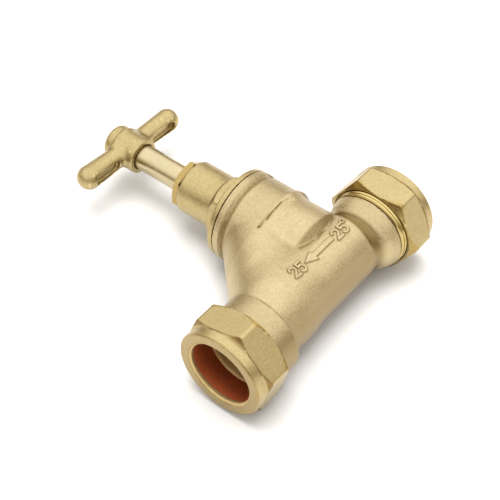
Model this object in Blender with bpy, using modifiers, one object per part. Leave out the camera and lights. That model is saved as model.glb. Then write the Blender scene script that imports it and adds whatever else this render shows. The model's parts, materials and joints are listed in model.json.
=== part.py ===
"""Brass stop valve for 28 mm copper tube: two compression ends in line, a screw-down bonnet at 90 degrees,
and a T-shaped crutch head.  Metres, +Z up, lying on its side: +X is the flow direction, the bonnet points
to -Y, and z = 0 is the surface it lies on.

Four empties carry the axes.  Their local +Z points out of the valve, so every turned piece is drawn with
its radius along local X and its distance from the pipe-bonnet crossing along local Z.  The handle's axis is
the bonnet's, turned to where the crutch head stands at rest.
"""
import math

import bmesh
import bpy
from mathutils import Matrix

MM = 0.001
GAP = 0.3                       # free space between touching pieces

# Driving dimensions in millimetres.
OUTLET_FACE = 70.0              # bonnet axis to the outlet nut's outer face
INLET_FACE = 45.0               # bonnet axis to the inlet nut's outer face
HEAD_TOP = 118.0                # pipe axis to the outer end of the crutch head
TUBE_BORE_R = 14.1              # a 28 mm tube passes through the nuts
SOCKET_R = 14.2                 # where the tube sits in the body
MOUTH_R = 15.9                  # wide end of the cone that the olive is pressed into
CONE_FOOT = 13.0                # nut face to the narrow end of that cone
SOCKET_DEPTH = 23.0             # nut face to the tube stop

NUT_LENGTH = 17.1
NUT_CORNER_R = 21.9
NUT_COLLAR_R = 19.1
NUT_BACK_R = 18.8               # flat ring at the nut's end, inside its rear chamfer
NUT_MOUTH_R = 18.0
NUT_THREAD_R = 17.35
NUT_LIP = 1.95
OUTLET_NUT_CORNER = 44.5        # degrees, one corner of the hexagon about the local axis
INLET_NUT_CORNER = 33.5
BODY_THREAD_R = 17.0
BODY_END = 8.0                  # nut face to the body's end face

TUBE_R = 15.6                   # cast tube between the ends
TUBE_SHIFT = 1.8                # its centre stands this far from the pipe axis, towards the bonnet
TUBE_START = 12.5
COLLAR_R = 17.5
OUTLET_COLLAR = 43.0
INLET_COLLAR = 24.0
INLET_WAIST_R = 12.8
INLET_BORE_R = 10.5
OUTLET_BORE_R = 11.0
WEB_R = 16.5                    # slanted branch from the neck down to the outlet
WEB_SUM = 36.4                  # x + distance from the pipe axis, along the branch's axis
PASSAGE_R = 8.5
PASSAGE_SUM = 40.0

NECK_R = 18.7
NECK_FOOT = 10.3
NECK_BAND_R = 19.6
NECK_BAND_FOOT = 25.7
RIM_GROOVE_R = 18.9
RIM_R = 20.1
RIM_FOOT = 42.4
RIM_TOP = 45.1
WASHER_RECESS_R = 17.5
CHAMBER_R = 15.0
CHAMBER_FLOOR = 13.8
SEAT_TOP = 16.0
SEAT_R = 9.3
SEAT_RING_R = 11.0

BONNET_FOOT = 34.0
BONNET_FLANGE_R = 19.9
BONNET_FLANGE_TOP = 48.8
BONNET_HEX_R = 14.72
BONNET_HEX = (48.4, 54.4)       # foot and top of the hexagon
BONNET_HEX_CORNER = 47.6
BONNET_WAIST_R = 12.4
BONNET_BARREL_R = 11.8
BONNET_TOP = 72.4
SPINDLE_THREAD_BORE_R = 8.35
STUFFING_R = 8.6
STUFFING_FLOOR = 60.0

GLAND_HEX = (72.7, 75.7)
GLAND_HEX_R = 11.2
GLAND_HEX_CORNER = 40.4
GLAND_FOOT = 69.3
SPINDLE_R = 5.7
SPINDLE_THREAD_R = 8.05
SPINDLE_FOOT = 28.4
STEM_CLEAR_R = 6.05             # bore of every piece round the spindle's stem

PACKING_RINGS = 3
PACKING_THICK = 1.8

HUB_R = 7.9
HUB_FOOT = 100.5
BAR_HEIGHT = 109.0
BAR_R = 5.3
BAR_REACH = 24.8                # hub axis to the centre of the bar's rounded end
HOLLOW_REACH = 17.5             # hub axis to the middle of the hollow under each arm
HOLLOW_HALF_WIDTH = 2.6
HANDLE_TURN = -3.0              # degrees, how far the bar stands off the pipe's direction
SQUARE = 7.6                    # across the flats of the spindle's driving square

LIFT = 6.0                      # how far the washer stands off its seat
WASHER_R = 11.2

BIG, MID, SMALL = 40, 32, 24    # segments round a circle

PIPE_Z = NUT_CORNER_R * math.cos(math.radians(OUTLET_NUT_CORNER - 60.0))
NUT_REACH = NUT_CORNER_R * math.cos(math.radians(INLET_NUT_CORNER + 60.0 - 90.0))
PIPE_Y = (HEAD_TOP - NUT_REACH) / 2.0
BONNET_X = -(OUTLET_FACE - INLET_FACE) / 2.0


def clear_scene():
    """Remove what the file holds."""
    for obj in list(bpy.data.objects):
        bpy.data.objects.remove(obj, do_unlink=True)


def make_material(name, colour, roughness, metallic):
    mat = bpy.data.materials.new(name)
    mat.use_nodes = True
    shader = mat.node_tree.nodes["Principled BSDF"]
    shader.inputs["Base Color"].default_value = (*colour, 1.0)
    shader.inputs["Roughness"].default_value = roughness
    shader.inputs["Metallic"].default_value = metallic
    mat.diffuse_color = (*colour, 1.0)
    return mat


def make_collection(name):
    collection = bpy.data.collections.new(name)
    bpy.context.scene.collection.children.link(collection)
    return collection


def make_axis(name, rotation):
    """An empty on the crossing of pipe and bonnet, local +Z pointing out of the valve."""
    empty = bpy.data.objects.new(name, None)
    empty.empty_display_size = 20.0 * MM
    empty.location = (BONNET_X * MM, PIPE_Y * MM, PIPE_Z * MM)
    empty.rotation_euler = rotation
    PARTS.objects.link(empty)
    return empty


def add_object(name, mesh, axis, mat=None):
    """A sub-part when it has a material, otherwise a hidden cutter or building shape."""
    obj = bpy.data.objects.new(name, mesh)
    obj.parent = axis
    if mat:
        mesh.materials.append(mat)
        PARTS.objects.link(obj)
    else:
        obj.hide_render = True
        obj.display_type = "WIRE"
        CUTTERS.objects.link(obj)
    return obj


def turned(name, axis, profile, steps, mat=None, ring=False, start=0.0):
    """Turn a profile of (radius, height) points, outer side from top to bottom, about the local Z axis.

    A start angle in degrees keeps the facets of crossing shapes from lining up.
    """
    mesh = bpy.data.meshes.new(name)
    across, along = math.cos(math.radians(start)), math.sin(math.radians(start))
    points = [(radius * across * MM, radius * along * MM, height * MM) for radius, height in profile]
    edges = [(i, i + 1) for i in range(len(points) - 1)]
    if ring:
        edges.append((len(points) - 1, 0))
    mesh.from_pydata(points, edges, [])
    obj = add_object(name, mesh, axis, mat)
    screw = obj.modifiers.new("turn", "SCREW")
    screw.axis = "Z"
    screw.angle = math.tau
    screw.steps = steps
    screw.render_steps = steps
    screw.use_merge_vertices = True
    screw.merge_threshold = 0.000001
    screw.use_smooth_shade = True
    return obj


def ring_profile(inner, outer, bottom, top):
    """A plain washer or packing ring, its outer side first."""
    return [(outer, top), (outer, bottom), (inner, bottom), (inner, top)]


def rod_profile(radius, bottom, top):
    """A plain solid cylinder."""
    return [(0.0, top), (radius, top), (radius, bottom), (0.0, bottom)]


def prism(name, axis, corners, radius, bottom, top, corner_angle, mat=None):
    """A regular prism along local Z with one corner at corner_angle degrees from local X."""
    mesh = bpy.data.meshes.new(name)
    bm = bmesh.new()
    bmesh.ops.create_cone(bm, cap_ends=True, segments=corners, radius1=radius * MM, radius2=radius * MM,
                          depth=(top - bottom) * MM)
    turn = Matrix.Rotation(math.radians(corner_angle - 90.0), 4, "Z")
    lift = Matrix.Translation((0.0, 0.0, (top + bottom) / 2.0 * MM))
    bmesh.ops.transform(bm, matrix=lift @ turn, verts=bm.verts)
    bm.to_mesh(mesh)
    bm.free()
    return add_object(name, mesh, axis, mat)


def combine(obj, other, operation):
    modifier = obj.modifiers.new(other.name, "BOOLEAN")
    modifier.operation = operation
    modifier.solver = "EXACT"
    modifier.object = other


def join(obj, other):
    combine(obj, other, "UNION")


def cut(obj, other):
    combine(obj, other, "DIFFERENCE")


def keep_common(obj, other):
    combine(obj, other, "INTERSECT")


# ---------------------------------------------------------------- valve body

def body_end_profile(face, collar_start, foot):
    """Threaded end and collar of the casting, and the foot points where it meets the cast tube."""
    end = face - BODY_END
    thread_foot = face - NUT_LENGTH + 0.4
    return [(0.0, end), (BODY_THREAD_R - 0.6, end), (BODY_THREAD_R, end - 0.6), (BODY_THREAD_R, thread_foot),
            (COLLAR_R, thread_foot - 0.3), (COLLAR_R, collar_start)] + foot + [(0.0, foot[-1][1])]


def waterway_profile(face, bore_r, bore_end):
    """Mouth for the olive, tube socket and waterway, cut from the outside in."""
    mouth = face - BODY_END
    cone_foot = face - CONE_FOOT
    stop = face - SOCKET_DEPTH
    slope = (MOUTH_R - SOCKET_R) / (mouth - cone_foot)
    return [(0.0, mouth + 1.0), (MOUTH_R + slope, mouth + 1.0), (SOCKET_R, cone_foot), (SOCKET_R, stop),
            (bore_r, stop), (bore_r, bore_end), (0.0, bore_end)]


def slanted(name, radius, axis_sum, x_start, x_end, start):
    """A cylinder from the neck down towards the outlet, at 45 degrees in the plane of the two axes."""
    length = (x_end - x_start) * math.sqrt(2.0)
    obj = turned(name, BONNET_AXIS, rod_profile(radius, 0.0, length), BIG, start=start)
    obj.rotation_euler = (0.0, math.radians(135.0), 0.0)
    obj.location = (x_start * MM, 0.0, (axis_sum - x_start) * MM)
    return obj


def make_body():
    neck = [(0.0, RIM_TOP), (RIM_R - 0.4, RIM_TOP), (RIM_R, RIM_TOP - 0.4), (RIM_R, RIM_FOOT),
            (RIM_GROOVE_R, RIM_FOOT - 0.8), (RIM_GROOVE_R, RIM_FOOT - 1.4), (NECK_BAND_R, RIM_FOOT - 2.0),
            (NECK_BAND_R, NECK_BAND_FOOT + 0.6), (NECK_R, NECK_BAND_FOOT), (NECK_R, NECK_FOOT + 2.2),
            (NECK_R - 1.4, NECK_FOOT), (0.0, NECK_FOOT)]
    body = turned("valve_body", BONNET_AXIS, neck, BIG, CAST_BRASS)

    tube = turned("cast_tube", OUTLET_AXIS, rod_profile(TUBE_R, -TUBE_START, OUTLET_COLLAR + 1.0), BIG,
                  start=1.0)
    tube.location = (0.0, -TUBE_SHIFT * MM, 0.0)
    join(body, tube)
    join(body, slanted("slanted_branch", WEB_R, WEB_SUM, 8.0, 31.0, 2.0))

    outlet_end = body_end_profile(OUTLET_FACE, OUTLET_COLLAR, [(COLLAR_R - 3.0, OUTLET_COLLAR - 1.5)])
    join(body, turned("outlet_end", OUTLET_AXIS, outlet_end, BIG, start=3.5))
    inlet_foot = [(COLLAR_R - 1.0, INLET_COLLAR - 4.5), (INLET_WAIST_R, INLET_COLLAR - 7.0),
                  (INLET_WAIST_R, INLET_COLLAR - 14.0)]
    inlet_end = body_end_profile(INLET_FACE, INLET_COLLAR, inlet_foot)
    join(body, turned("inlet_end", INLET_AXIS, inlet_end, BIG, start=6.0))

    chamber = [(0.0, RIM_TOP + 1.0), (WASHER_RECESS_R, RIM_TOP + 1.0), (WASHER_RECESS_R, RIM_TOP - 1.4),
               (CHAMBER_R, RIM_TOP - 1.4), (CHAMBER_R, CHAMBER_FLOOR), (SEAT_RING_R, CHAMBER_FLOOR),
               (SEAT_RING_R, SEAT_TOP), (0.0, SEAT_TOP)]
    cut(body, turned("chamber", BONNET_AXIS, chamber, BIG, start=2.5))
    cut(body, turned("seat_hole", BONNET_AXIS, rod_profile(SEAT_R, 0.0, SEAT_TOP + 1.0), MID, start=3.0))
    cut(body, slanted("slanted_passage", PASSAGE_R, PASSAGE_SUM, 9.0, 36.0, 4.0))
    outlet_way = waterway_profile(OUTLET_FACE, OUTLET_BORE_R, 17.0)
    cut(body, turned("outlet_waterway", OUTLET_AXIS, outlet_way, BIG, start=1.5))
    inlet_way = waterway_profile(INLET_FACE, INLET_BORE_R, -8.0)
    cut(body, turned("inlet_waterway", INLET_AXIS, inlet_way, BIG, start=5.0))


# ---------------------------------------------------------------- compression ends

def make_compression_end(side, axis, face, corner_angle):
    """The hexagon nut and the copper olive of one end.  Heights are measured from the nut's outer face."""
    length = NUT_LENGTH
    nut = prism(side + "_nut", axis, 6, NUT_CORNER_R, -length, -3.0, corner_angle, MACHINED_BRASS)
    slope = 1.75
    top_r = NUT_CORNER_R + 1.0
    chamfer = [(0.0, -2.0), (NUT_COLLAR_R, -2.0), (NUT_COLLAR_R, -3.8),
               (top_r, -3.8 - (top_r - NUT_COLLAR_R) / slope),
               (top_r, -length + (top_r - NUT_BACK_R) / slope), (NUT_BACK_R, -length),
               (NUT_BACK_R - slope, -length - 1.0), (0.0, -length - 1.0)]
    keep_common(nut, turned(side + "_nut_chamfer", axis, chamfer, BIG))
    collar = [(0.0, 0.0), (NUT_COLLAR_R - 0.6, 0.0), (NUT_COLLAR_R, -0.6), (NUT_COLLAR_R, -4.3), (0.0, -4.3)]
    join(nut, turned(side + "_nut_collar", axis, collar, BIG))
    bore = [(0.0, 1.0), (TUBE_BORE_R + 1.6, 1.0), (TUBE_BORE_R, -0.6), (TUBE_BORE_R, -NUT_LIP),
            (TUBE_BORE_R + 0.65, -NUT_LIP), (NUT_THREAD_R, -4.55), (NUT_THREAD_R, 1.4 - length),
            (NUT_MOUTH_R, 0.75 - length), (NUT_MOUTH_R, -length - 1.0), (0.0, -length - 1.0)]
    cut(nut, turned(side + "_nut_bore", axis, bore, BIG))
    olive_profile = [(14.35, -2.3), (15.3, -4.2), (15.3, -8.0), (14.35, -11.7), (14.05, -11.7), (14.05, -2.3)]
    olive = turned(side + "_olive", axis, olive_profile, BIG, COPPER, ring=True)
    for obj in [nut, olive] + [item for item in CUTTERS.objects if item.name.startswith(side + "_nut")]:
        obj.location = (0.0, 0.0, face * MM)


# ---------------------------------------------------------------- bonnet and gland

def make_bonnet():
    flange_foot = RIM_TOP + 0.4
    outline = [(0.0, BONNET_TOP), (10.0, BONNET_TOP), (BONNET_BARREL_R, 70.4), (BONNET_BARREL_R, 56.5),
               (BONNET_WAIST_R, BONNET_HEX[1] - 0.5), (BONNET_WAIST_R, BONNET_FLANGE_TOP),
               (BONNET_FLANGE_R - 1.6, BONNET_FLANGE_TOP), (BONNET_FLANGE_R, BONNET_FLANGE_TOP - 0.8),
               (BONNET_FLANGE_R, flange_foot),
               (CHAMBER_R - GAP, flange_foot), (CHAMBER_R - GAP, BONNET_FOOT + 1.0),
               (CHAMBER_R - GAP - 1.0, BONNET_FOOT), (0.0, BONNET_FOOT)]
    bonnet = turned("bonnet", BONNET_AXIS, outline, BIG, CAST_BRASS)
    join(bonnet, prism("bonnet_hexagon", BONNET_AXIS, 6, BONNET_HEX_R, BONNET_HEX[0], BONNET_HEX[1],
                       BONNET_HEX_CORNER))
    bore = [(0.0, BONNET_TOP + 1.0), (STUFFING_R, BONNET_TOP + 1.0), (STUFFING_R, STUFFING_FLOOR),
            (STEM_CLEAR_R, STUFFING_FLOOR), (STEM_CLEAR_R, 57.6), (SPINDLE_THREAD_BORE_R, 57.6),
            (SPINDLE_THREAD_BORE_R, BONNET_FOOT - 1.0), (0.0, BONNET_FOOT - 1.0)]
    cut(bonnet, turned("bonnet_bore", BONNET_AXIS, bore, MID))
    washer = ring_profile(CHAMBER_R, WASHER_RECESS_R - GAP, RIM_TOP - 1.1, RIM_TOP + 0.1)
    turned("bonnet_washer", BONNET_AXIS, washer, BIG, FIBRE, ring=True)


def make_gland():
    base_top = STUFFING_FLOOR + GAP + 0.9
    base = ring_profile(STEM_CLEAR_R, STUFFING_R - GAP, STUFFING_FLOOR + GAP, base_top)
    turned("packing_base_washer", BONNET_AXIS, base, SMALL, MACHINED_BRASS, ring=True)
    bottom = base_top + GAP
    for number in range(PACKING_RINGS):
        packing = ring_profile(STEM_CLEAR_R, STUFFING_R - GAP, bottom, bottom + PACKING_THICK)
        turned(f"packing_ring_{number + 1}", BONNET_AXIS, packing, SMALL, PACKING, ring=True)
        bottom += PACKING_THICK + GAP
    follower = ring_profile(STEM_CLEAR_R, STUFFING_R - GAP, bottom, GLAND_FOOT - GAP)
    turned("gland_follower", BONNET_AXIS, follower, SMALL, MACHINED_BRASS, ring=True)

    nut = prism("gland_nut", BONNET_AXIS, 6, GLAND_HEX_R, GLAND_HEX[0], GLAND_HEX[1], GLAND_HEX_CORNER,
                BRIGHT_BRASS)
    flat_r = GLAND_HEX_R * math.cos(math.radians(30.0))
    chamfer = [(0.0, GLAND_HEX[1] + 1.0), (flat_r - 0.2, GLAND_HEX[1] + 1.0), (flat_r - 0.2, GLAND_HEX[1]),
               (GLAND_HEX_R + 0.8, GLAND_HEX[1] - 1.5), (GLAND_HEX_R + 0.8, GLAND_HEX[0] - 1.0),
               (0.0, GLAND_HEX[0] - 1.0)]
    keep_common(nut, turned("gland_nut_chamfer", BONNET_AXIS, chamfer, BIG))
    join(nut, turned("gland_nut_thread", BONNET_AXIS, rod_profile(STUFFING_R - GAP, GLAND_FOOT, 74.0), SMALL))
    stem_hole = rod_profile(STEM_CLEAR_R, GLAND_FOOT - 1.0, GLAND_HEX[1] + 1.0)
    cut(nut, turned("gland_nut_bore", BONNET_AXIS, stem_hole, SMALL))


# ---------------------------------------------------------------- spindle and crutch head

def make_spindle():
    shoulder = HUB_FOOT + 1.5
    outline = [(0.0, shoulder), (SPINDLE_R - 0.4, shoulder), (SPINDLE_R, shoulder - 0.4), (SPINDLE_R, 54.8),
               (SPINDLE_THREAD_R - 0.8, 54.0), (SPINDLE_THREAD_R, 53.2), (SPINDLE_THREAD_R, 34.0),
               (6.6, 32.6), (6.6, SPINDLE_FOOT), (0.0, SPINDLE_FOOT)]
    spindle = turned("spindle", HANDLE_AXIS, outline, MID, POLISHED_BRASS)
    square_r = SQUARE / math.sqrt(2.0)
    join(spindle, prism("driving_square", HANDLE_AXIS, 4, square_r, shoulder - 0.5, 112.0, 45.0))
    cut(spindle, turned("jumper_socket", HANDLE_AXIS, rod_profile(3.5, SPINDLE_FOOT - 1.0, 41.0), SMALL))
    cut(spindle, turned("screw_thread_hole", HANDLE_AXIS, rod_profile(2.0, 103.5, 113.0), SMALL))


def arc(centre_r, centre_h, radius, start, end, count):
    """Points on a circular arc in the profile plane, angles in degrees from the radial direction."""
    angles = [math.radians(start + (end - start) * i / count) for i in range(count + 1)]
    return [(centre_r + radius * math.cos(a), centre_h + radius * math.sin(a)) for a in angles]


def make_crutch():
    corner = 2.4
    hub = [(0.0, HEAD_TOP)] + arc(HUB_R - corner, HEAD_TOP - corner, corner, 90.0, 0.0, 4)
    hub += [(HUB_R, HUB_FOOT + 0.5), (HUB_R - 0.5, HUB_FOOT), (0.0, HUB_FOOT)]
    head = turned("crutch_head", HANDLE_AXIS, hub, MID, CAST_BRASS)

    capsule = [(0.0, BAR_REACH + BAR_R)] + arc(0.0, BAR_REACH, BAR_R, 80.0, 0.0, 4)
    capsule += arc(0.0, -BAR_REACH, BAR_R, 0.0, -80.0, 4) + [(0.0, -BAR_REACH - BAR_R)]
    bar = turned("cross_bar", HANDLE_AXIS, capsule, SMALL)
    bar.rotation_euler = (0.0, math.radians(90.0), 0.0)
    bar.location = (0.0, 0.0, BAR_HEIGHT * MM)
    join(head, bar)
    for side in (-1, 1):
        hollow = prism("hollow_left" if side < 0 else "hollow_right", HANDLE_AXIS, 16, HOLLOW_HALF_WIDTH,
                       BAR_HEIGHT - BAR_R - 1.0, BAR_HEIGHT - BAR_R + 2.4, 0.0)
        hollow.location = (side * HOLLOW_REACH * MM, 0.0, 0.0)
        hollow.scale = (2.9, 1.0, 1.0)
        cut(head, hollow)

    cut(head, turned("spindle_recess", HANDLE_AXIS, rod_profile(6.1, HUB_FOOT - 1.0, HUB_FOOT + 1.9), MID))
    square_hole_r = (SQUARE + 2.0 * GAP) / math.sqrt(2.0)
    cut(head, prism("square_hole", HANDLE_AXIS, 4, square_hole_r, HUB_FOOT + 1.0, 112.4, 45.0))
    cut(head, turned("screw_hole", HANDLE_AXIS, rod_profile(1.9, 112.0, 114.0), SMALL))
    cut(head, turned("screw_recess", HANDLE_AXIS, rod_profile(4.1, 113.6, HEAD_TOP + 1.0), SMALL))

    screw = [(0.0, 115.9), (3.2, 115.9), (3.6, 115.4), (3.6, 113.9), (1.55, 113.9), (1.55, 104.2),
             (0.0, 104.2)]
    screw_obj = turned("crutch_screw", HANDLE_AXIS, screw, SMALL, STEEL)
    cut(screw_obj, prism("screw_slot", HANDLE_AXIS, 4, 4.6, 115.1, 117.0, 45.0))
    slot = CUTTERS.objects["screw_slot"]
    slot.scale = (1.5, 0.13, 1.0)


# ---------------------------------------------------------------- jumper

def make_jumper():
    """The loose plate that carries the washer, with its guide stem up and its threaded stud down."""
    washer_foot = SEAT_TOP + GAP + LIFT
    washer_top = washer_foot + 3.0
    plate_foot = washer_top + GAP
    plate_top = SPINDLE_FOOT - GAP
    outline = [(0.0, 40.0), (2.7, 40.0), (3.2, 39.5), (3.2, plate_top), (WASHER_R - 0.6, plate_top),
               (WASHER_R, plate_top - 0.6), (WASHER_R, plate_foot), (2.2, plate_foot),
               (2.2, washer_foot - 3.0), (0.0, washer_foot - 3.0)]
    turned("jumper", BONNET_AXIS, outline, MID, MACHINED_BRASS)
    washer = ring_profile(2.2 + GAP, WASHER_R, washer_foot, washer_top)
    turned("jumper_washer", BONNET_AXIS, washer, MID, RUBBER, ring=True)
    nut = prism("jumper_nut", BONNET_AXIS, 6, 4.6, washer_foot - 2.6, washer_foot - GAP, 0.0, MACHINED_BRASS)
    hole = rod_profile(2.2 + GAP, washer_foot - 4.0, washer_foot + 1.0)
    cut(nut, turned("jumper_nut_hole", BONNET_AXIS, hole, SMALL))


clear_scene()
PARTS = make_collection("stop_valve")
CUTTERS = make_collection("cutters")

OUTLET_AXIS = make_axis("outlet_axis", (0.0, math.radians(90.0), 0.0))
INLET_AXIS = make_axis("inlet_axis", (0.0, math.radians(-90.0), 0.0))
BONNET_AXIS = make_axis("bonnet_axis", (math.radians(90.0), 0.0, 0.0))
HANDLE_AXIS = make_axis("handle_axis", (math.radians(90.0), math.radians(HANDLE_TURN), 0.0))

CAST_BRASS = make_material("cast_brass", (0.70, 0.53, 0.27), 0.42, 1.0)
MACHINED_BRASS = make_material("machined_brass", (0.78, 0.59, 0.28), 0.28, 1.0)
BRIGHT_BRASS = make_material("bright_brass", (0.84, 0.62, 0.22), 0.15, 1.0)
POLISHED_BRASS = make_material("polished_brass", (0.86, 0.76, 0.52), 0.12, 1.0)
COPPER = make_material("copper", (0.72, 0.28, 0.13), 0.25, 1.0)
FIBRE = make_material("red_fibre", (0.35, 0.10, 0.07), 0.8, 0.0)
PACKING = make_material("graphite_packing", (0.06, 0.06, 0.06), 0.7, 0.0)
RUBBER = make_material("black_rubber", (0.03, 0.03, 0.03), 0.6, 0.0)
STEEL = make_material("zinc_plated_steel", (0.62, 0.62, 0.60), 0.3, 1.0)

make_body()
make_compression_end("outlet", OUTLET_AXIS, OUTLET_FACE, OUTLET_NUT_CORNER)
make_compression_end("inlet", INLET_AXIS, INLET_FACE, INLET_NUT_CORNER)
make_bonnet()
make_gland()
make_spindle()
make_crutch()
make_jumper()
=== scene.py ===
"""Looks of the brass stop valve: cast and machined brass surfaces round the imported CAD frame.

Shapes are worked out in millimetres about the crossing of the pipe axis and the bonnet axis: x runs along
the flow, y away from the crutch head and z up.  Castings and machined pieces are signed-distance fields,
negative inside, which contour() turns into meshes with their edges kept.  Plain turned pieces use a Screw
modifier.  In a turned outline each point is (radius, height along the axis).
"""
import json
import math

import bpy
import numpy as np
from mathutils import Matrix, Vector


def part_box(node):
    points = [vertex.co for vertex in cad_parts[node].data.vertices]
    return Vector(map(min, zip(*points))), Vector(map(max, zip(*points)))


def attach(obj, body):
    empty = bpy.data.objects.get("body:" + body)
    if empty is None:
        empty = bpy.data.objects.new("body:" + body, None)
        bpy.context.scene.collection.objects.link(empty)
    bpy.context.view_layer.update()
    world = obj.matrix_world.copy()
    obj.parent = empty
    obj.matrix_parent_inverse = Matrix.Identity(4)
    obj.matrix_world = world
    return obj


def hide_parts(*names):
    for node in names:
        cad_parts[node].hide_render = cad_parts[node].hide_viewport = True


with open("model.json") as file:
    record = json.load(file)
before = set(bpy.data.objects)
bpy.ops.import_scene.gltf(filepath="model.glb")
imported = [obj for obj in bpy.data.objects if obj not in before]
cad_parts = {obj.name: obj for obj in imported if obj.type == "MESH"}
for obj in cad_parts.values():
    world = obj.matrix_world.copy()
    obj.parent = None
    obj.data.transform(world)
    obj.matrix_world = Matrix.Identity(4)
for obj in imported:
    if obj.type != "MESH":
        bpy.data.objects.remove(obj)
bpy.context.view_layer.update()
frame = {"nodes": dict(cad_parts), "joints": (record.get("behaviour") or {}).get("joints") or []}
JOINTS = {joint["name"]: joint for joint in frame["joints"]}

MM = 0.001
PIPE_Y, PIPE_Z = JOINTS["outlet_nut_turn"]["pos_m"][1:]
BONNET_X = JOINTS["handle_turn"]["pos_m"][0]
ORIGIN = Vector((BONNET_X, PIPE_Y, PIPE_Z))
OUTLET_FACE = (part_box("outlet_nut")[1].x - BONNET_X) / MM
INLET_FACE = (BONNET_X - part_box("inlet_nut")[0].x) / MM

# millimetres
AXIS = -30.0                    # a turned outline that reaches the axis is carried past it to this radius
THREAD_PITCH = 2.309
CHAMBER_R = 15.0                # inside the body, above the seat
BODY_THREAD_R = 17.0
NUT_THREAD_R = 17.3
SOCKET_R = 14.2                 # takes the tube
OUTLET_BORE_R = 11.0
INLET_BORE_R = 10.5
STEM_BORE_R = 6.05              # bore of what the spindle's stem passes through
BODY_END = 8.0                  # from a nut's face back to the end of the casting
NUT_LENGTH = 17.1
NUT_FLAT_R = 18.97              # half across the flats
NUT_FORGED_R = 18.8             # foot of the rear chamfer, and the collar in front
VALLEY_DEPTH = 0.22             # share of valley_reach that is cut away
CREASE_DEPTH = 0.6
BRANCH_R = 16.5
BRANCH_LENGTH = 32.5
BAR_D = 109.0                   # the crutch bar's distance from the pipe axis
BAR_REACH = 24.8                # half its length, less the round end

# degrees
HANDLE_TURN = -3.0              # the crutch bar's angle to the pipe at rest
OUTLET_NUT_CORNER = 15.5        # one corner of each hexagon, from its v axis towards u
INLET_NUT_CORNER = 33.5
BONNET_CORNER = 42.4
GLAND_CORNER = 49.6

TURNED_STEPS = 128              # sides of a turned piece
ROUND_SHARP = 38.0              # edges sharper than this many degrees are drawn sharp
HEXAGON_SHARP = 25.0
TURNED_SHARP = 30.0


# ---------------------------------------------------------------- distance fields

def smooth_min(a, b, width):
    """Union with a fillet about as wide as width."""
    blend = np.maximum(width - np.abs(a - b), 0.0) / width
    return np.minimum(a, b) - blend * blend * width * 0.25


def smooth_max(a, b, width):
    """Intersection with a rounded edge."""
    return -smooth_min(-a, -b, width)


def outline(r, h, points, rounding=0.0):
    """Signed distance in the (radius, height) plane to a closed outline, grown by rounding."""
    nearest = np.full(r.shape, 1e9, np.float32)
    inside = np.zeros(r.shape, bool)
    for (r0, h0), (r1, h1) in zip(points, points[1:] + points[:1]):
        along_r, along_h = r1 - r0, h1 - h0
        from_r, from_h = r - r0, h - h0
        share = np.clip((from_r * along_r + from_h * along_h) / (along_r ** 2 + along_h ** 2), 0.0, 1.0)
        nearest = np.minimum(nearest, (from_r - along_r * share) ** 2 + (from_h - along_h * share) ** 2)
        if along_h:
            crosses = (h0 <= h) != (h1 <= h)
            inside ^= crosses & (from_r < from_h * (along_r / along_h))
    distance = np.sqrt(nearest)
    return np.where(inside, -distance, distance) - rounding


def rod(r, h, radius, low, high):
    """A plain cylinder."""
    return np.maximum(r - radius, np.maximum(low - h, h - high))


def hexagon(u, v, flat_r, corner, rounding):
    """Distance to a hexagonal prism's side; corner is one corner's angle from v towards u, in degrees."""
    field = None
    for turn in (30.0, 90.0, 150.0):
        angle = math.radians(corner + turn)
        side = np.abs(u * math.sin(angle) + v * math.cos(angle)) - flat_r
        field = side if field is None else smooth_max(field, side, rounding)
    return field


def thread_wave(u, v, h, pitch):
    """A triangular wave from 0 to 1 that climbs one pitch per turn."""
    phase = (h / pitch + np.arctan2(u, v) / math.tau) % 1.0
    return np.abs(2.0 * phase - 1.0)


def stroke(x, y, points, half_width):
    """Distance in the plane to a line of points drawn with a round pen."""
    nearest = None
    for (x0, y0), (x1, y1) in zip(points, points[1:]):
        dx, dy = x1 - x0, y1 - y0
        share = np.clip(((x - x0) * dx + (y - y0) * dy) / (dx * dx + dy * dy), 0.0, 1.0)
        distance = np.hypot(x - x0 - dx * share, y - y0 - dy * share)
        nearest = distance if nearest is None else np.minimum(nearest, distance)
    return nearest - half_width


# ---------------------------------------------------------------- meshes from fields

def slope_of(field, points):
    """Unit normals of a field at points, by central differences over a small reach."""
    reach = 0.02
    normal = np.empty_like(points)
    for axis in range(3):
        ahead, behind = points.copy(), points.copy()
        ahead[:, axis] += reach
        behind[:, axis] -= reach
        normal[:, axis] = field(*ahead.T) - field(*behind.T)
    return normal / np.maximum(np.linalg.norm(normal, axis=1, keepdims=True), 1e-9)


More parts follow.
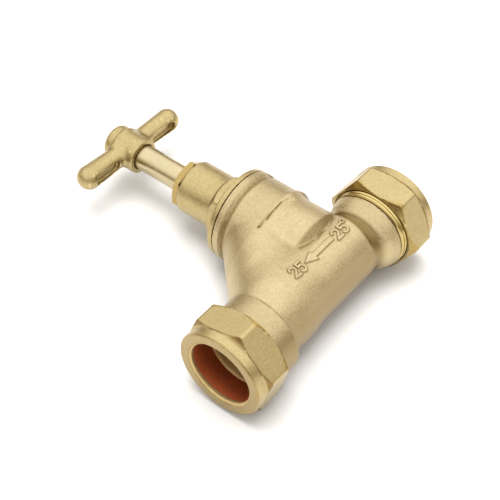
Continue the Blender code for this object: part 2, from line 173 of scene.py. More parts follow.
def contour(field, low, high, step):
    """Dual contouring: one point per cell that the surface crosses, placed so that edges stay sharp.

    Each crossing on a grid edge is found by halving.  A cell's point is the least-squares meeting of the
    tangent planes at its crossings, held back by pull and kept within limit of their middle.
    """
    halvings, pull, limit = 5, 0.06, step * 0.7
    lines = [np.arange(a - 1.5 * step, b + 2.5 * step, step) for a, b in zip(low, high)]
    shape = tuple(len(line) for line in lines)
    values = field(*np.meshgrid(*[line.astype(np.float32) for line in lines], indexing="ij"))
    inside = values < 0.0
    strides = (shape[1] * shape[2], shape[2], 1)
    start = np.array([line[0] for line in lines])
    cells, normals, hits, quads = [], [], [], []
    for axis in range(3):
        near = tuple(slice(0, -1) if k == axis else slice(1, -1) for k in range(3))
        far = tuple(slice(1, None) if k == axis else slice(1, -1) for k in range(3))
        crossing = np.argwhere(inside[near] != inside[far])
        for k in range(3):
            crossing[:, k] += 0 if k == axis else 1
        other = crossing.copy()
        other[:, axis] += 1
        v0 = values[tuple(crossing.T)].astype(np.float64)
        v1 = values[tuple(other.T)].astype(np.float64)
        p0 = start + crossing * step
        share = np.clip(v0 / (v0 - v1), 0.02, 0.98)
        low_share, high_share = np.zeros_like(share), np.ones_like(share)
        for _ in range(halvings):
            point = p0.copy()
            point[:, axis] += share * step
            same = (field(*point.T) < 0.0) == (v0 < 0.0)
            low_share = np.where(same, share, low_share)
            high_share = np.where(same, high_share, share)
            share = (low_share + high_share) / 2.0
        point = p0.copy()
        point[:, axis] += share * step
        normal = slope_of(field, point)
        b, c = (axis + 1) % 3, (axis + 2) % 3
        base = crossing @ np.array(strides)
        ring = [base, base - strides[b], base - strides[b] - strides[c], base - strides[c]]
        cells += ring
        normals += [normal] * 4
        hits += [point] * 4
        quad = np.stack(ring, axis=1)
        quad[v0 > 0.0] = quad[v0 > 0.0][:, ::-1]
        quads.append(quad)
    cells, quads = np.concatenate(cells), np.concatenate(quads)
    normals, hits = np.concatenate(normals), np.concatenate(hits)
    used, index = np.unique(cells, return_inverse=True)
    count = np.bincount(index).astype(float)

    def total(weights):
        return np.bincount(index, weights=weights, minlength=len(used))

    middle = np.stack([total(hits[:, k]) for k in range(3)], axis=1) / count[:, None]
    offset = np.einsum("ij,ij->i", normals, hits - middle[index])
    matrix = np.empty((len(used), 3, 3))
    for i in range(3):
        for j in range(3):
            matrix[:, i, j] = total(normals[:, i] * normals[:, j])
    matrix += np.eye(3) * (pull * count)[:, None, None]
    target = np.stack([total(normals[:, k] * offset) for k in range(3)], axis=1)
    shift = np.linalg.solve(matrix, target[:, :, None])[:, :, 0]
    shift = np.clip(shift, -limit, limit)
    faces = np.searchsorted(used, quads)
    return middle + shift, faces


def make_object(name, points, faces, sharp):
    """A mesh object from points in millimetres about the origin."""
    mesh = bpy.data.meshes.new(name)
    world = np.asarray(points) * MM + np.array(ORIGIN)
    mesh.from_pydata(world.tolist(), [], faces.tolist())
    mesh.validate()
    mesh.shade_smooth()
    mesh.set_sharp_from_angle(angle=math.radians(sharp))
    obj = bpy.data.objects.new(name, mesh)
    bpy.context.scene.collection.objects.link(obj)
    return obj


def sculpted(name, field, low, high, step, sharp=ROUND_SHARP):
    """A mesh object of a field's surface inside the box from low to high."""
    points, faces = contour(field, low, high, step)
    return make_object(name, points, faces, sharp)


def finish_piece(obj, body, mat, slot, *nodes):
    """Give a piece its material and body, and hide the CAD nodes that it stands for; slot is not used."""
    obj.data.materials.clear()
    obj.data.materials.append(mat)
    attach(obj, body)
    if nodes:
        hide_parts(*nodes)
    return obj


def paint(obj, mat, where):
    """Give the faces whose centres, in millimetres, fulfil where(x, y, z) a second material."""
    mesh = obj.data
    mesh.materials.append(mat)
    middle = np.empty(len(mesh.polygons) * 3)
    mesh.polygons.foreach_get("center", middle)
    x, y, z = ((middle.reshape(-1, 3) - np.array(ORIGIN)) / MM).T
    index = np.empty(len(mesh.polygons), np.int32)
    mesh.polygons.foreach_get("material_index", index)
    index[where(x, y, z)] = len(mesh.materials) - 1
    mesh.polygons.foreach_set("material_index", index)
    mesh.update()


def painted_shade(obj, amount):
    """Store how much painted shade the skin takes at each point, from 0 to 1, for the material to read."""
    mesh = obj.data
    place = np.empty(len(mesh.vertices) * 3)
    mesh.vertices.foreach_get("co", place)
    x, y, z = ((place.reshape(-1, 3) - np.array(ORIGIN)) / MM).T
    layer = mesh.attributes.new("painted_shade", "FLOAT", "POINT")
    layer.data.foreach_set("value", amount(x, y, z).astype(np.float32))


# ---------------------------------------------------------------- valve body

def fade(value, low, high):
    """A smooth step from 0 at low to 1 at high."""
    share = np.clip((value - low) / (high - low), 0.0, 1.0)
    return share * share * (3.0 - 2.0 * share)


def tube_field(x, y, z):
    """The cast tube: slightly taller than wide, and a little taller still towards the outlet."""
    share = np.clip((x - 15.0) / 28.0, 0.0, 1.0)
    half_width = 14.2 - 0.4 * share
    half_height = 16.2 + 0.5 * share
    centre = -1.5 + 0.5 * share
    section = (np.hypot((y - centre) / half_width, z / half_height) - 1.0) * 14.0
    return smooth_max(section, np.maximum(-13.2 - x, x - 44.0), 2.0)


def valley_reach(x, y):
    """How far, in plan, a point lies inside the valley in the tube's crest where the neck comes down."""
    return np.minimum(-5.0 - 0.012 * (x - 1.0) ** 2 - y, (12.6 - np.abs(x)) * 0.8)


def branch_field(x, y, z):
    """The slanted branch from the neck down to the outlet, a round-ended bar at 45 degrees."""
    x0, d0 = 8.0, 28.4
    along = np.clip(((x - x0) - (-y - d0)) / math.sqrt(2.0), 0.0, BRANCH_LENGTH)
    dx = x - (x0 + along / math.sqrt(2.0))
    dd = -y - (d0 - along / math.sqrt(2.0))
    return np.sqrt(dx * dx + dd * dd + z * z) - BRANCH_R


def neck_crease(x, y, z):
    """1 on the line at the foot of the bonnet's seat where it runs on across the branch, 0 away from it."""
    return np.exp(-((y + 26.6) / 0.6) ** 2) * fade(x, 4.5, 7.0) * fade(-x, -14.4, -13.2) * (z > 8.0)


def skin_field(x, y, z):
    """The outside of the casting without its machined ends."""
    r_bonnet, h = np.hypot(x, z), -y
    r_pipe = np.hypot(y, z)
    valley = np.where(z > 0.0, VALLEY_DEPTH * smooth_max(valley_reach(x, y), 0.0, 0.8), 0.0)
    tube = tube_field(x, y, z) + valley
    cast = smooth_min(tube, branch_field(x, y, z), 7.0) + CREASE_DEPTH * neck_crease(x, y, z)
    neck = outline(r_bonnet, h, [(AXIS, 6.3), (15.6, 6.3), (18.3, 9.1), (18.3, 26.0), (AXIS, 26.0)], 0.4)
    cast = smooth_min(cast, neck, 0.7 + 1.3 * np.clip((x - 6.0) / 8.0, 0.0, 1.0))
    band = [(AXIS, 26.4), (19.3, 26.4), (19.3, 39.6), (18.4, 40.8), (AXIS, 41.0)]
    cast = smooth_min(cast, outline(r_bonnet, h, band, 0.3), 0.6 + 4.0 * fade(-x, 0.0, 8.0))
    inlet_foot = outline(r_pipe, -x, [(AXIS, 8.0), (12.8, 8.0), (12.8, 20.0), (AXIS, 20.0)])
    cast = smooth_min(cast, inlet_foot, 1.0)
    collar = [(AXIS, 18.6), (13.6, 18.6), (15.4, 21.0), (16.2, 23.2), (16.3, 24.2), (AXIS, 24.2)]
    cast = smooth_min(cast, outline(r_pipe, -x, collar, 0.8), 2.5)
    outlet_collar = outline(r_pipe, x, [(AXIS, 43.8), (16.7, 43.8), (16.7, 52.2), (AXIS, 52.2)], 0.8)
    return smooth_min(cast, outlet_collar, 0.7)


def waterway(r, h, face, bore_r, bore_end):
    """Olive mouth, tube socket and waterway of one end."""
    mouth, cone_foot, stop = face - BODY_END, face - 13.0, face - 23.0
    socket = outline(r, h, [(AXIS, mouth + 4.0), (17.2, mouth + 4.0), (SOCKET_R, cone_foot),
                            (SOCKET_R, stop), (AXIS, stop)])
    return np.minimum(socket, rod(r, h, bore_r, bore_end, stop + 1.0))


def body_field(x, y, z):
    """The whole casting: skin, rim and threads, less its waterway, chamber and seat."""
    r_bonnet, h_bonnet, r_pipe = np.hypot(x, z), -y, np.hypot(y, z)
    field = skin_field(x, y, z)
    rim = [(AXIS, 39.5), (18.4, 39.5), (18.4, 41.4), (19.7, 42.8), (19.7, 44.9), (AXIS, 44.9)]
    field = smooth_min(field, outline(r_bonnet, h_bonnet, rim, 0.3), 0.5)
    for face, h, set_back in ((OUTLET_FACE, x, 18.0), (INLET_FACE, -x, 20.0)):
        start, end = face - set_back, face - BODY_END
        screwed = r_pipe - (BODY_THREAD_R - 0.75 * thread_wave(y, z, h, THREAD_PITCH))
        screwed = np.maximum(screwed * 0.8, np.maximum(start - h, h - end))
        screwed = np.maximum(screwed, (r_pipe - BODY_THREAD_R + (h - end + 0.9)) * 0.7)
        field = np.minimum(field, screwed)
    washer_seat = rod(r_bonnet, h_bonnet, 17.5, 43.7, 60.0)
    chamber = outline(r_bonnet, h_bonnet, [(AXIS, 60.0), (CHAMBER_R, 60.0), (CHAMBER_R, 13.8), (11.0, 13.8),
                                           (11.0, 16.0), (AXIS, 16.0)])
    seat_hole = rod(r_bonnet, h_bonnet, 9.3, 0.0, 17.0)
    across = (x - h_bonnet - 9.0 + 31.0) / math.sqrt(2.0)
    off_line = (x + h_bonnet - 40.0) / math.sqrt(2.0)
    passage = np.maximum(np.hypot(off_line, z) - 8.5, np.maximum(-across, across - 38.0))
    hollow = np.minimum(np.minimum(washer_seat, chamber), np.minimum(seat_hole, passage))
    hollow = np.minimum(hollow, waterway(r_pipe, x, OUTLET_FACE, OUTLET_BORE_R, 17.0))
    hollow = np.minimum(hollow, waterway(r_pipe, -x, INLET_FACE, INLET_BORE_R, -8.0))
    return np.maximum(field, -hollow)


def body_machined(x, y, z):
    """Threads, end faces, chamber and the rim's top."""
    r_bonnet, h = np.hypot(x, z), -y
    ends = (x > OUTLET_FACE - 17.9) | (-x > INLET_FACE - 17.7)
    chamber = (r_bonnet < 17.6) & (h > 13.6)
    rim_top = (h > 45.0) & (r_bonnet < 19.9)
    return ends | chamber | rim_top


def body_bored(x, y, z):
    """Sockets and waterways, away from the outside where the casting is waisted."""
    r = np.hypot(y, z)
    return (r < 14.9) & ((x > 44.0) | (x < -22.0)) | (r < 11.8) & ((x > 17.5) | (x < -13.0))


def body_painted_shade(x, y, z):
    """Painted shade: in the valley and crease at the neck, in the inlet's waist, on the tube's lower side,
    on the collars at the ends and on the neck's band and rim.
    """
    valley = fade(valley_reach(x, y), 0.0, 1.0) * fade(y, -9.6, -9.2) * (z > 8.0)
    waist = fade(x, -19.4, -16.2) * fade(-x, 13.0, 13.5) * fade(-y, -16.0, -11.0)
    crease = neck_crease(x, y, z) * (0.6 + 0.4 * fade(x, 9.0, 12.0))
    under = 0.65 * fade(y - 0.8 * z, -2.0, 9.0) * fade(x, -16.0, -13.0)
    ends = np.maximum(fade(x, 42.0, 45.0), fade(-x, 19.5, 21.5))
    collars = 0.15 * np.maximum(ends, fade(-y, 26.0, 28.0))
    return np.maximum(np.maximum(valley * 0.5, crease), np.maximum(waist * 0.97, np.maximum(under, collars)))


def bead_outline():
    """The turned bead at the foot of the inlet's thread."""
    return [(15.9, 25.3), (16.9, 25.4), (17.4, 25.8), (17.5, 26.3), (17.4, 27.0), (17.55, 27.3),
            (17.7, 27.6), (17.7, 28.2), (15.9, 28.2)]


# ---------------------------------------------------------------- casting marks

def arc(cx, cy, radius, start, end, count=10):
    """Points on an arc, angles in degrees."""
    angles = np.radians(np.linspace(start, end, count))
    return [(cx + radius * math.cos(a), cy + radius * math.sin(a)) for a in angles]


def figures():
    """The strokes of a two and a five in a box 4.1 mm wide and 5.5 mm high, from their lower left corner."""
    two = arc(2.0, 3.55, 1.45, 168.0, -32.0) + [(0.65, 0.5), (3.65, 0.5)]
    five = [(3.3, 4.95), (0.75, 4.95), (0.7, 3.1)] + arc(1.85, 2.0, 1.5, 130.0, -145.0)
    return two, five


def marks_plan(x, y):
    """Plan distance to a flow arrow between two size figures, and to the small ring after the second."""
    along, across = -x, -y - 1.5
    from_middle = np.abs(across + 1.15)
    field = np.abs(np.hypot(along - 9.9, across - 1.25) - 0.9) - 0.33
    for left in (-26.1, 1.0):
        for shift, points in zip((0.0, 4.35), figures()):
            line = [(px + left + shift, py - 3.95) for px, py in points]
            field = np.minimum(field, stroke(along, across, line, 0.52))
    shaft = smooth_max(from_middle - 1.1, np.maximum(along - 0.1, -12.0 - along), 0.5)
    head = smooth_max(from_middle * 0.92 - (along + 17.4) * 0.4, along + 11.5, 0.5)
    return np.minimum(field, np.minimum(shaft, head))


def marks_field(x, y, z):
    """The marks, 0.4 mm high on a thin skirt that follows the casting's skin."""
    plan, skin = marks_plan(x, y), skin_field(x, y, z)
    raised = smooth_max((plan - 0.2 + skin * 0.6) * 0.85, skin - 0.4, 0.12)
    skirt = np.maximum((plan - 0.55) * 0.9, skin - 0.05)
    return np.maximum(np.minimum(raised, skirt), -(skin + 0.5))


def marks_painted_shade(x, y, z):
    """Painted shade at the foot of the marks."""
    return fade(-np.abs(marks_plan(x, y) - 0.15), -0.42, -0.05) * 0.55


# ---------------------------------------------------------------- compression nuts and olives

# t is the depth behind a compression nut's front face
NUT_SLOPE = 1.75                # of its chamfers, radius over depth
CHAMFER_R, CHAMFER_T = 20.75, 5.4       # where the front chamfer starts
COLLAR_T = 4.4                  # depth of the round collar in front


def nut_field(face, corner, side):
    """A compression nut: round collar, chamfered hexagon, bore with its lip and thread."""
    def field(x, y, z):
        t = face - side * x
        r = np.hypot(y, z)
        sides = hexagon(y, z, NUT_FLAT_R, corner, 0.9)
        blank = [(AXIS, 3.0), (18.2, 3.0), (CHAMFER_R, CHAMFER_T), (24.0, CHAMFER_T + 3.25 / NUT_SLOPE),
                 (24.0, NUT_LENGTH - 5.2 / NUT_SLOPE), (NUT_FORGED_R, NUT_LENGTH), (AXIS, NUT_LENGTH)]
        solid = smooth_max(sides, outline(r, t, blank), 0.2)
        collar = outline(r, t, [(AXIS, 0.45), (18.45, 0.45), (NUT_FORGED_R, 0.9), (NUT_FORGED_R, COLLAR_T),
                                (AXIS, COLLAR_T)], 0.45)
        solid = smooth_min(solid, collar, 0.2)
        bore = [(AXIS, -3.0), (15.1, -3.0), (15.1, 0.0), (14.1, 0.9), (14.1, 1.95), (14.35, 2.2),
                (NUT_THREAD_R, 4.5), (NUT_THREAD_R, 15.7), (18.0, 16.4), (18.0, 20.0), (AXIS, 20.0)]
        grooves = r - (NUT_THREAD_R + 0.6 * thread_wave(y, z, side * x, THREAD_PITCH))
        grooves = np.maximum(grooves * 0.8, np.maximum(5.0 - t, t - 16.6))
        return np.maximum(solid, -np.minimum(outline(r, t, bore), grooves))
    return field


def nut_painted_shade(face, side):
    """Painted shade on the forging's front chamfers and a little on its face."""
    def amount(x, y, z):
        r, t = np.hypot(y, z), face - side * x
        chamfer = fade(-np.abs(r - CHAMFER_R - NUT_SLOPE * (t - CHAMFER_T)), -0.7, -0.3) * (t < 9.0)
        return np.maximum(0.85 * chamfer, 0.38 * (t < 0.7))
    return amount


def nut_turned(face, side):
    """Where a nut is turned bright: its bore and the chamfer on the body's side."""
    def where(x, y, z):
        r, t = np.hypot(y, z), face - side * x
        bore = (r < 17.95) & (t > 2.6)
        chamfer = (r - NUT_FORGED_R > (NUT_LENGTH - t) * 0.9) & (t > 14.0)
        return bore | chamfer
    return where


def nut_lip(face, side):
    """The lip that holds the olive."""
    def where(x, y, z):
        return (np.hypot(y, z) < 15.0) & (face - side * x > 0.3) & (face - side * x < 2.6)
    return where


def turned(name, points, to_world):
    """Turn a closed outline of (radius, height) about an axis; to_world maps local points."""
    mesh = bpy.data.meshes.new(name)
    count = len(points)
    mesh.from_pydata([(r, 0.0, h) for r, h in points], [(i, (i + 1) % count) for i in range(count)], [])
    obj = bpy.data.objects.new(name, mesh)
    bpy.context.scene.collection.objects.link(obj)
    screw = obj.modifiers.new("turn", "SCREW")
    screw.steps = TURNED_STEPS
    screw.render_steps = TURNED_STEPS
    screw.use_merge_vertices = True
    screw.merge_threshold = 0.0001
    bpy.context.view_layer.update()
    evaluated = obj.evaluated_get(bpy.context.evaluated_depsgraph_get())
    final = bpy.data.meshes.new_from_object(evaluated)
    bpy.data.objects.remove(obj, do_unlink=True)
    co = np.empty(len(final.vertices) * 3)
    final.vertices.foreach_get("co", co)
    world = to_world(co.reshape(-1, 3)) * MM + np.array(ORIGIN)
    final.vertices.foreach_set("co", world.ravel())
    final.update()
    final.name = name
    final.shade_smooth()
    final.set_sharp_from_angle(angle=math.radians(TURNED_SHARP))
    result = bpy.data.objects.new(name, final)
    bpy.context.scene.collection.objects.link(result)
    return result


def along_outlet(p):
    return np.stack([p[:, 2], p[:, 0], p[:, 1]], axis=1)


def along_inlet(p):
    return np.stack([-p[:, 2], p[:, 1], p[:, 0]], axis=1)


def along_bonnet(p):
    return np.stack([p[:, 0], -p[:, 2], p[:, 1]], axis=1)


def olive_outline(face):
    """A barrel-shaped copper ring, heights along the pipe axis."""
    front, back = face - 2.3, face - 11.7
    outer = [(14.4, front), (14.75, front - 0.25), (15.2, front - 1.6), (15.3, front - 3.2),
             (15.3, back + 3.4), (15.05, back + 1.9), (14.5, back + 0.2), (14.35, back)]
    inner = [(14.16, back), (14.05, back + 0.25), (14.05, front - 0.3), (14.2, front)]
    return outer + inner


# ---------------------------------------------------------------- bonnet and gland nut

def bonnet_field(x, y, z):
    """The bonnet: flange, chamfered hexagon and barrel, with its threaded foot and bore."""
    r, h = np.hypot(x, z), -y
    barrel = outline(r, h, [(AXIS, 48.0), (12.1, 48.0), (11.6, 55.0), (11.3, 58.0), (11.3, 71.2),
                            (10.7, 71.8), (AXIS, 71.8)], 0.5)
    flange = outline(r, h, [(AXIS, 46.1), (19.4, 46.1), (19.4, 47.6), (18.4, 48.2), (AXIS, 48.3)], 0.45)
    sides = hexagon(x, z, 12.75, BONNET_CORNER, 0.8)
    sides = smooth_max(sides, np.maximum(47.0 - h, h - 54.4), 0.4)
    sides = smooth_max(sides, (r - 13.9 + (h - 53.4)) * 0.7, 0.4)
    field = smooth_min(barrel, sides, 1.2)
    field = smooth_min(field, flange, 0.8)
    foot = r - (CHAMBER_R - 0.3 - 0.5 * thread_wave(x, z, h, THREAD_PITCH))
    foot = np.maximum(foot * 0.8, np.maximum(34.0 - h, h - 47.5))
    field = np.minimum(field, foot)
    bore = [(AXIS, 80.0), (8.6, 80.0), (8.6, 60.0), (STEM_BORE_R, 60.0), (STEM_BORE_R, 57.6), (8.35, 57.6),
            (8.35, 30.0), (AXIS, 30.0)]
    return np.maximum(field, -outline(r, h, bore))


def gland_nut_field(x, y, z):
    """The gland nut: a thin hexagon on a plain shank that enters the stuffing box."""
    r, h = np.hypot(x, z), -y
    sides = hexagon(x, z, 9.7, GLAND_CORNER, 0.3)
    blank = [(AXIS, 72.7), (10.6, 72.7), (11.5, 73.2), (11.5, 75.0), (9.9, 75.7), (AXIS, 75.7)]
    field = smooth_max(sides, outline(r, h, blank), 0.15)
    field = np.minimum(field, rod(r, h, 8.3, 69.3, 74.0))
    bore = [(AXIS, 60.0), (STEM_BORE_R, 60.0), (STEM_BORE_R, 75.3), (6.5, 75.8), (6.5, 80.0), (AXIS, 80.0)]
    return np.maximum(field, -outline(r, h, bore))


# ---------------------------------------------------------------- crutch head and spindle

def crutch_field(x, y, z):
    """The crutch head, its bar turned a few degrees off the pipe's direction as at rest."""
    lean = math.radians(HANDLE_TURN)
    x, z = x * math.cos(lean) - z * math.sin(lean), x * math.sin(lean) + z * math.cos(lean)
    r, h = np.hypot(x, z), -y
    hub = outline(r, h, [(AXIS, 101.1), (7.3, 101.1), (6.2, 116.2), (5.4, 117.0), (AXIS, 117.4)], 0.6)
    swell = outline(r, h, [(AXIS, 103.0), (5.6, 103.0), (5.6, 115.2), (AXIS, 115.2)], 2.2)
    hub = smooth_min(hub, swell, 1.0)
    ends = np.abs(x)
    radius = 4.75 + 0.55 * np.clip((ends - 8.0) / 17.0, 0.0, 1.0)
    beyond = np.maximum(ends - BAR_REACH, 0.0)
    bar = np.sqrt(beyond ** 2 + (h - BAR_D) ** 2 + z * z) - radius
    field = smooth_min(hub, bar, 2.2)
    ridge = np.maximum(np.abs(h - 111.8) - 0.2, r - 8.05)
    field = smooth_min(field, ridge, 1.2)
    reach = np.maximum(np.abs(ends - 17.6) - 4.6, 0.0)
    pocket = np.hypot(reach, z) - 2.6
    pocket = smooth_max(pocket, h - (BAR_D - 2.6), 0.8)
    field = smooth_max(field, -pocket, 0.7)
    recess = outline(r, h, [(AXIS, 95.0), (STEM_BORE_R, 95.0), (STEM_BORE_R, 101.1), (5.85, 101.4),
                            (5.85, 102.4), (AXIS, 102.4)])
    square = np.maximum(np.maximum(np.abs(x), np.abs(z)) - 4.1, np.maximum(95.0 - h, h - 112.4))
    screw_recess = rod(r, h, 4.1, 113.6, 125.0)
    screw_hole = rod(r, h, 1.9, 100.0, 120.0)
    hollow = np.minimum(np.minimum(recess, square), np.minimum(screw_recess, screw_hole))
    return np.maximum(field, -hollow)


def spindle_outline():
    """Stem only: the driving square and the thread stay hidden inside."""
    middle = 0.001              # just off the axis, so that the turned ends close
    return [(middle, 102.4), (5.2, 102.4), (5.7, 101.9), (5.7, 54.8), (7.25, 54.0), (8.05, 53.2),
            (8.05, 34.0), (6.6, 32.6), (6.6, 28.4), (3.5, 28.4), (3.5, 41.0), (middle, 41.0)]


# ---------------------------------------------------------------- materials

def node(tree, kind, inputs=None, **settings):
    """Add a shader node, set its properties, and fill sockets from values or other nodes' sockets."""
    made = tree.nodes.new(kind)
    for key, value in settings.items():
        setattr(made, key, value)
    for key, value in (inputs or {}).items():
        if isinstance(value, bpy.types.NodeSocket):
            tree.links.new(value, made.inputs[key])
        else:
            made.inputs[key].default_value = value
    return made


def ramp(tree, factor, stops):
    """A colour ramp over factor from (position, colour) stops."""
    made = node(tree, "ShaderNodeValToRGB", {"Fac": factor})
    elements = made.color_ramp.elements
    while len(elements) < len(stops):
        elements.new(0.5)
    for element, (place, colour) in zip(elements, stops):
        element.position = place
        element.color = (*colour, 1.0)
    return made.outputs["Color"]


def metal(name, dark, light, roughness, grain, bump, edge_wear_and_highlight=None, painted_shade_colour=None, wide_shade_share=0.0):
    """Brass or copper with a mottled tone, a blasted grain, brighter edges that are part wear and part
    painted highlight, and painted shade in inner corners and hollows.

    grain is the number of grains per metre and bump their height in millimetres.  The last argument is how
    much of the painted shade colour wide hollows take.
    """
    mat = bpy.data.materials.new(name)
    mat.use_nodes = True
    tree = mat.node_tree
    shader = tree.nodes["Principled BSDF"]
    place = node(tree, "ShaderNodeTexCoord").outputs["Object"]
    cloud = node(tree, "ShaderNodeTexNoise", {"Vector": place, "Scale": 140.0, "Detail": 5.0,
                                              "Roughness": 0.6})
    fine = node(tree, "ShaderNodeTexNoise", {"Vector": place, "Scale": grain, "Detail": 2.0,
                                             "Roughness": 0.6})
    mixed = node(tree, "ShaderNodeMix", {0: 0.7, 2: cloud.outputs["Fac"], 3: fine.outputs["Fac"]},
                 data_type="FLOAT")
    colour = ramp(tree, mixed.outputs[0], [(0.34, dark), (0.66, light)])
    rough = node(tree, "ShaderNodeMapRange", {"Value": mixed.outputs[0], "From Min": 0.3, "From Max": 0.7,
                                              "To Min": roughness - 0.05, "To Max": roughness + 0.05})
    # Brighter colour on sharp edges by pointiness: part wear, part painted highlight on rounded corners.
    if edge_wear_and_highlight:
        facing = node(tree, "ShaderNodeNewGeometry").outputs["Pointiness"]
        wear_and_highlight_share = node(tree, "ShaderNodeMapRange", {"Value": facing, "From Min": 0.53, "From Max": 0.60})
        colour = node(tree, "ShaderNodeMix", {0: wear_and_highlight_share.outputs[0], 6: colour, 7: (*edge_wear_and_highlight, 1.0)},
                      data_type="RGBA").outputs[2]
    # Painted shade: the stored painted shade amount, and ambient occlusion in wide hollows and tight
    # corners, darken the colour towards the shade colour.
    if painted_shade_colour:
        painted_shade_share = node(tree, "ShaderNodeAttribute", attribute_name="painted_shade").outputs["Fac"]
        colour = node(tree, "ShaderNodeMix", {0: painted_shade_share, 6: colour, 7: (*painted_shade_colour, 1.0)},
                      data_type="RGBA").outputs[2]
        wide_hollows, tight_corners = (0.008, 0.35, 0.80, wide_shade_share), (0.0012, 0.40, 0.96, 1.0)
        for reach, low, high, share in (wide_hollows, tight_corners):
            sky = node(tree, "ShaderNodeAmbientOcclusion", {"Distance": reach}, samples=12)
            hidden = node(tree, "ShaderNodeMapRange", {"Value": sky.outputs["AO"], "From Min": low,
                                                       "From Max": high, "To Min": share, "To Max": 0.0})
            colour = node(tree, "ShaderNodeMix", {0: hidden.outputs[0], 6: colour, 7: (*painted_shade_colour, 1.0)},
                          data_type="RGBA").outputs[2]
    height = node(tree, "ShaderNodeBump", {"Height": fine.outputs["Fac"], "Strength": 1.0,
                                           "Distance": bump * MM})
    tree.links.new(colour, shader.inputs["Base Color"])
    tree.links.new(rough.outputs[0], shader.inputs["Roughness"])
    tree.links.new(height.outputs["Normal"], shader.inputs["Normal"])
    shader.inputs["Metallic"].default_value = 1.0
    return mat


def plain(name, dark, light, roughness, grain):
    """A non-metal with a mottled tone and fine grain: fibre, packing, rubber."""
    mat = metal(name, dark, light, roughness, grain, bump=0.1)
    mat.node_tree.nodes["Principled BSDF"].inputs["Metallic"].default_value = 0.0
    return mat


CAST = metal("cast_brass", (0.43, 0.345, 0.19), (0.585, 0.48, 0.28),
             roughness=0.40, grain=1250.0, bump=0.17,
             edge_wear_and_highlight=(0.68, 0.56, 0.34), painted_shade_colour=(0.22, 0.148, 0.054), wide_shade_share=0.25)
# Cast brass made darker and warmer for the bonnet and crutch head: painted shade on those parts.
SHADED_CAST = metal("shaded_cast_brass", (0.36, 0.28, 0.13), (0.51, 0.41, 0.20),
                  roughness=0.33, grain=1300.0, bump=0.15,
                  edge_wear_and_highlight=(0.58, 0.465, 0.24), painted_shade_colour=(0.20, 0.115, 0.035), wide_shade_share=0.3)
MACHINED = metal("machined_brass", (0.40, 0.31, 0.143), (0.525, 0.425, 0.213),
                 roughness=0.34, grain=1500.0, bump=0.08,
                 edge_wear_and_highlight=(0.64, 0.52, 0.28), painted_shade_colour=(0.22, 0.13, 0.04))
TURNED = metal("turned_brass", (0.50, 0.39, 0.16), (0.58, 0.455, 0.195),
               roughness=0.2, grain=900.0, bump=0.005)
BORED = metal("bored_brass", (0.60, 0.46, 0.22), (0.70, 0.55, 0.28),
              roughness=0.6, grain=400.0, bump=0.001)
BRIGHT = metal("bright_brass", (0.33, 0.225, 0.075), (0.43, 0.32, 0.125),
               roughness=0.22, grain=900.0, bump=0.005,
               edge_wear_and_highlight=(0.60, 0.47, 0.21), painted_shade_colour=(0.20, 0.09, 0.02))
POLISHED = metal("polished_brass", (0.47, 0.395, 0.235), (0.52, 0.44, 0.268),
                 roughness=0.24, grain=400.0, bump=0.001,
                 painted_shade_colour=(0.30, 0.205, 0.085), wide_shade_share=0.5)
COPPER = metal("copper", (0.38, 0.095, 0.034), (0.46, 0.125, 0.046),
               roughness=0.6, grain=900.0, bump=0.01)
STEEL = metal("zinc_plated_steel", (0.50, 0.50, 0.48), (0.68, 0.67, 0.64),
              roughness=0.3, grain=1500.0, bump=0.01)
FIBRE = plain("red_fibre", (0.22, 0.05, 0.04), (0.36, 0.10, 0.07), roughness=0.8, grain=3000.0)
PACKING = plain("graphite_packing", (0.03, 0.03, 0.03), (0.09, 0.09, 0.09), roughness=0.7, grain=3000.0)
RUBBER = plain("black_rubber", (0.015, 0.015, 0.015), (0.04, 0.04, 0.04), roughness=0.55, grain=2000.0)


# ---------------------------------------------------------------- pieces

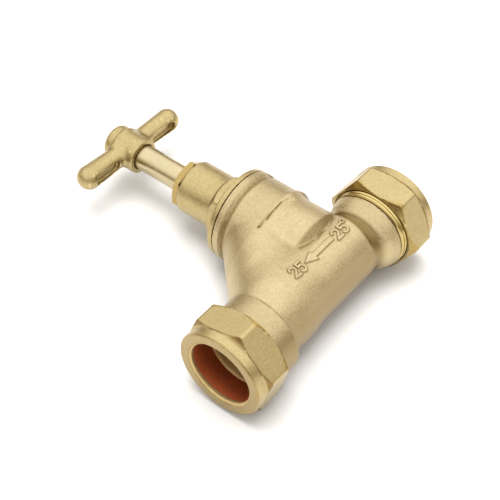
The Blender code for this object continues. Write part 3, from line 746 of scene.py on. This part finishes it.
def build_pieces():
    """Make every visible piece, and give the CAD nodes that stay visible their materials."""
    body = sculpted("body_casting", body_field, (-38.0, -47.0, -21.0), (63.0, 20.0, 21.0), step=0.62)
    finish_piece(body, "valve", CAST, "cast_brass", "valve_body")
    paint(body, MACHINED, body_machined)
    paint(body, BORED, body_bored)
    # Painted shade on the body's hollows, waist, lower side and collars.
    painted_shade(body, body_painted_shade)
    bead = turned("inlet_thread_bead", bead_outline(), along_inlet)
    finish_piece(bead, "valve", TURNED, "bright_brass")
    marks = sculpted("casting_marks", marks_field, (-12.0, -4.5, 13.0), (27.0, 3.5, 18.6), step=0.22)
    finish_piece(marks, "valve", CAST, "cast_brass")
    # Painted shade round the foot of the marks.
    painted_shade(marks, marks_painted_shade)

    reach = 22.5                # past the hexagon's corners
    for name, face, corner, side, to_world in (
            ("outlet", OUTLET_FACE, OUTLET_NUT_CORNER, 1.0, along_outlet),
            ("inlet", INLET_FACE, INLET_NUT_CORNER, -1.0, along_inlet)):
        span = sorted((side * (face - 17.2), side * face))          # just past the length
        nut = sculpted(name + "_nut_forging", nut_field(face, corner, side), (span[0], -reach, -reach),
                       (span[1], reach, reach), step=0.4, sharp=HEXAGON_SHARP)
        finish_piece(nut, name + "_nut", MACHINED, "machined_brass", name + "_nut")
        paint(nut, BRIGHT, nut_turned(face, side))
        paint(nut, BORED, nut_lip(face, side))
        # Painted shade on the nut's front chamfers and face.
        painted_shade(nut, nut_painted_shade(face, side))
        olive = turned(name + "_copper_olive", olive_outline(face), to_world)
        finish_piece(olive, name + "_olive", COPPER, "copper", name + "_olive")

    bonnet = sculpted("bonnet_casting", bonnet_field, (-20.0, -72.5, -20.0), (20.0, -34.0, 20.0), step=0.5)
    finish_piece(bonnet, "valve", SHADED_CAST, "cast_brass", "bonnet")
    gland = sculpted("gland_hexagon", gland_nut_field, (-11.5, -75.8, -11.5), (11.5, -69.2, 11.5), step=0.3,
                     sharp=HEXAGON_SHARP)
    finish_piece(gland, "gland_nut", BRIGHT, "bright_brass", "gland_nut")
    crutch = sculpted("crutch_casting", crutch_field, (-30.5, -118.1, -8.5), (30.5, -100.4, 8.5), step=0.45)
    finish_piece(crutch, "spindle", SHADED_CAST, "cast_brass", "crutch_head")

    stem = turned("spindle_stem", spindle_outline(), along_bonnet)
    finish_piece(stem, "spindle", POLISHED, "polished_brass", "spindle")

    kept = {"crutch_screw": STEEL, "bonnet_washer": FIBRE, "packing_base_washer": MACHINED,
            "packing_ring_1": PACKING, "packing_ring_2": PACKING, "packing_ring_3": PACKING,
            "gland_follower": MACHINED, "jumper": MACHINED, "jumper_washer": RUBBER, "jumper_nut": MACHINED}
    for name, mat in kept.items():
        mesh = frame["nodes"][name].data
        mesh.materials.clear()
        mesh.materials.append(mat)


build_pieces()


# ---------------------------------------------------------------- floor, light and camera

def look_along(obj, direction):
    obj.rotation_euler = direction.to_track_quat("-Z", "Y").to_euler()


def build_stage():
    """A plain pale floor; the light on it is set so that it renders white."""
    bpy.ops.mesh.primitive_plane_add(size=40.0, location=(0.0, 0.0, 0.0))
    floor = bpy.context.object
    floor.name = "floor"
    mat = bpy.data.materials.new("pale_floor")
    mat.use_nodes = True
    shader = mat.node_tree.nodes["Principled BSDF"]
    shader.inputs["Base Color"].default_value = (0.569, 0.56, 0.55, 1.0)
    shader.inputs["Roughness"].default_value = 0.9
    shader.inputs["Specular IOR Level"].default_value = 0.1
    floor.data.materials.append(mat)


def area_light(name, place, size, watts):
    """A square lamp, size metres wide, aimed at the middle of the valve."""
    data = bpy.data.lights.new(name, "AREA")
    data.energy = watts
    data.size = size
    light = bpy.data.objects.new(name, data)
    bpy.context.scene.collection.objects.link(light)
    light.location = place
    middle = Vector((0.0, 0.02, 0.02))
    look_along(light, middle - Vector(place))
    return light


def build_light():
    """A bright ceiling that fades to a dimmer horizon, and a lamp overhead that the metal doesn't mirror.

    The camera sees an even pale backdrop in place of the ceiling and horizon.
    """
    world = bpy.data.worlds.new("soft_studio")
    world.use_nodes = True
    tree = world.node_tree
    background = tree.nodes["Background"]
    direction = node(tree, "ShaderNodeTexCoord").outputs["Generated"]
    height = node(tree, "ShaderNodeSeparateXYZ", {0: direction}).outputs["Z"]
    ceiling = ramp(tree, height, [(0.0, (0.13, 0.095, 0.06)), (0.2, (0.31, 0.25, 0.185)),
                                  (0.45, (0.81, 0.775, 0.72)), (0.65, (1.0, 1.0, 1.0))])
    dim_side = (0.78, 0.63, 0.0)
    near = node(tree, "ShaderNodeVectorMath", {0: direction, 1: dim_side}, operation="DOT_PRODUCT")
    shade = node(tree, "ShaderNodeMapRange", {"Value": near.outputs["Value"], "From Min": -0.6,
                                              "From Max": 0.8, "To Min": 1.0, "To Max": 0.9})
    level = node(tree, "ShaderNodeVectorMath", {0: ceiling, "Scale": shade.outputs[0]}, operation="SCALE")
    tree.links.new(level.outputs["Vector"], background.inputs["Color"])
    background.inputs["Strength"].default_value = 1.8
    backdrop = node(tree, "ShaderNodeBackground", {"Color": (0.95, 0.95, 0.95, 1.0)})
    seen = node(tree, "ShaderNodeLightPath").outputs["Is Camera Ray"]
    sky = node(tree, "ShaderNodeMixShader", {0: seen, 1: background.outputs[0], 2: backdrop.outputs[0]})
    tree.links.new(sky.outputs[0], tree.nodes["World Output"].inputs["Surface"])
    bpy.context.scene.world = world
    overhead = area_light("overhead", place=(0.0, 0.0, 1.25), size=0.85, watts=23.0)
    overhead.visible_glossy = False


def build_camera():
    """The photograph's viewpoint; place_mm is from the crossing of the axes."""
    azimuth, elevation, place_mm = math.radians(128.93), math.radians(47.68), (297.8, 199.1, 401.4)
    back = Vector((math.sin(azimuth) * math.cos(elevation), -math.cos(azimuth) * math.cos(elevation),
                   math.sin(elevation)))
    data = bpy.data.cameras.new("camera")
    data.sensor_width = 36.0
    data.lens = 96.7
    data.clip_start = 0.01
    camera = bpy.data.objects.new("camera", data)
    bpy.context.scene.collection.objects.link(camera)
    camera.location = ORIGIN + Vector(place_mm) * MM
    look_along(camera, -back)
    bpy.context.scene.camera = camera


build_stage()
build_light()
build_camera()
bpy.context.scene.view_settings.view_transform = "Standard"
